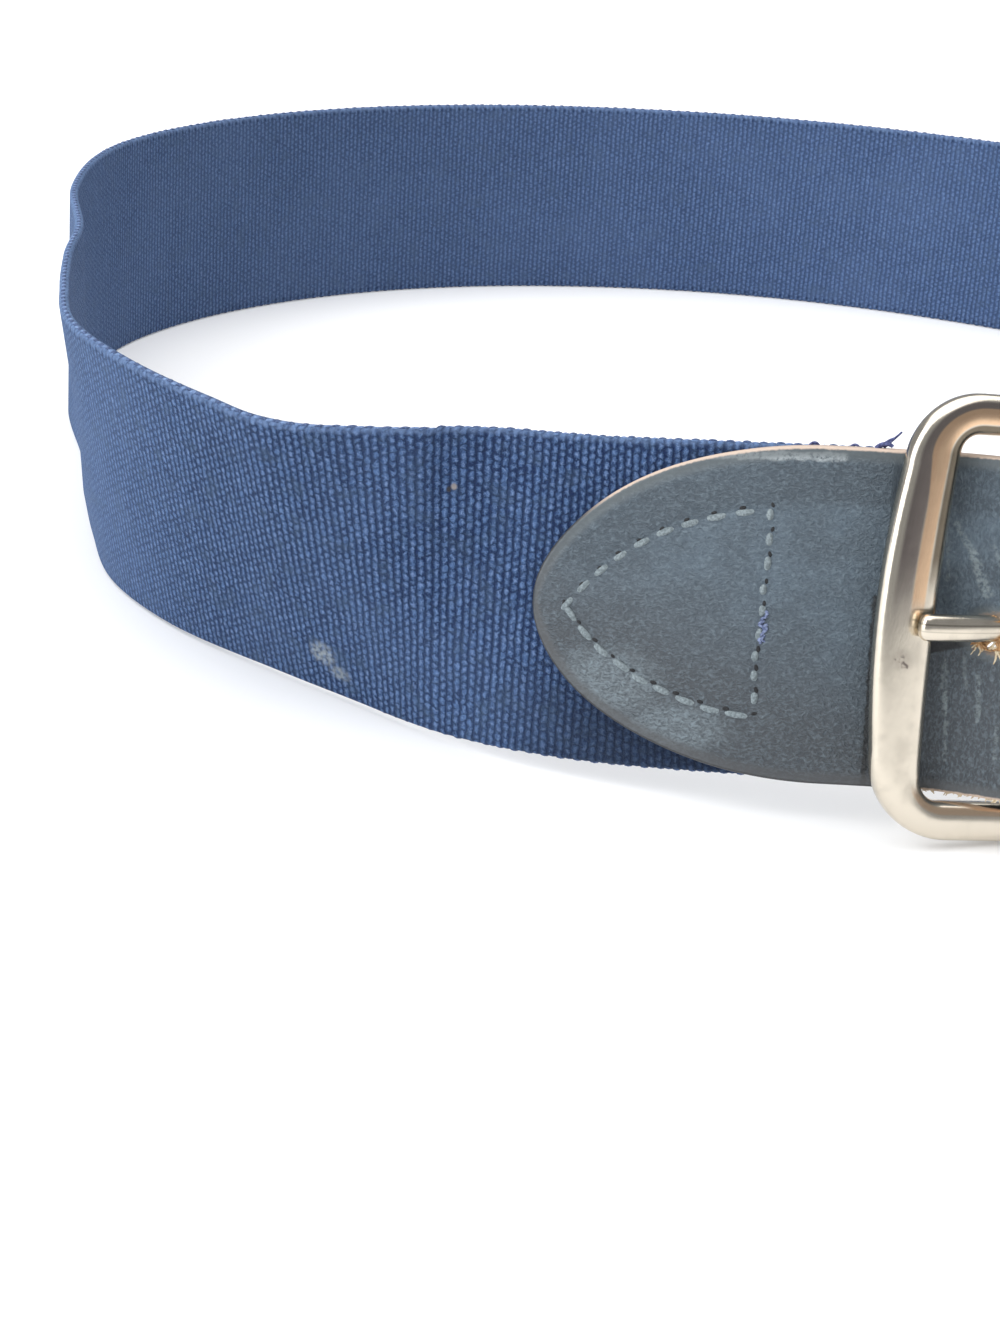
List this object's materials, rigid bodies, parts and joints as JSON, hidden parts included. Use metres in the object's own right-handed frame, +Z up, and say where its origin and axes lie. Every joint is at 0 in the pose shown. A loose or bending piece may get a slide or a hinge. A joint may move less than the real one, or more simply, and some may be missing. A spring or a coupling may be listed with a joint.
{
  "type": "elastic belt",
  "caption": "Wide woven elastic belt fastened as a standing loop, with a sewn leather tab, a folded leather end, a keeper and a metal prong buckle.",
  "frame": {"origin": "middle of the loop's plan at the level that it stands on", "axes": "+Z up out of the loop, +Y from the buckle towards the back of the loop, +X to the right as the buckle is seen from outside"},
  "size_m": [0.2936, 0.3056, 0.0593],
  "materials": {
    "web": "navy plain-weave elastic with pale nubs and scalloped selvedges",
    "tab_leather": "slate-blue leather with a soft sheen, tan raw edges and pale grey stitching",
    "fold_leather": "slate-blue leather with tan raw edges",
    "buckle_metal": "polished warm pale nickel with fine wear"
  },
  "bodies": {
    "root": {"elastic_web": "web", "leather_tab": "tab_leather", "buckle_fold": "fold_leather", "keeper_loop": "fold_leather", "buckle_frame": "buckle_metal", "prong": "buckle_metal"}
  },
  "joints": []
}
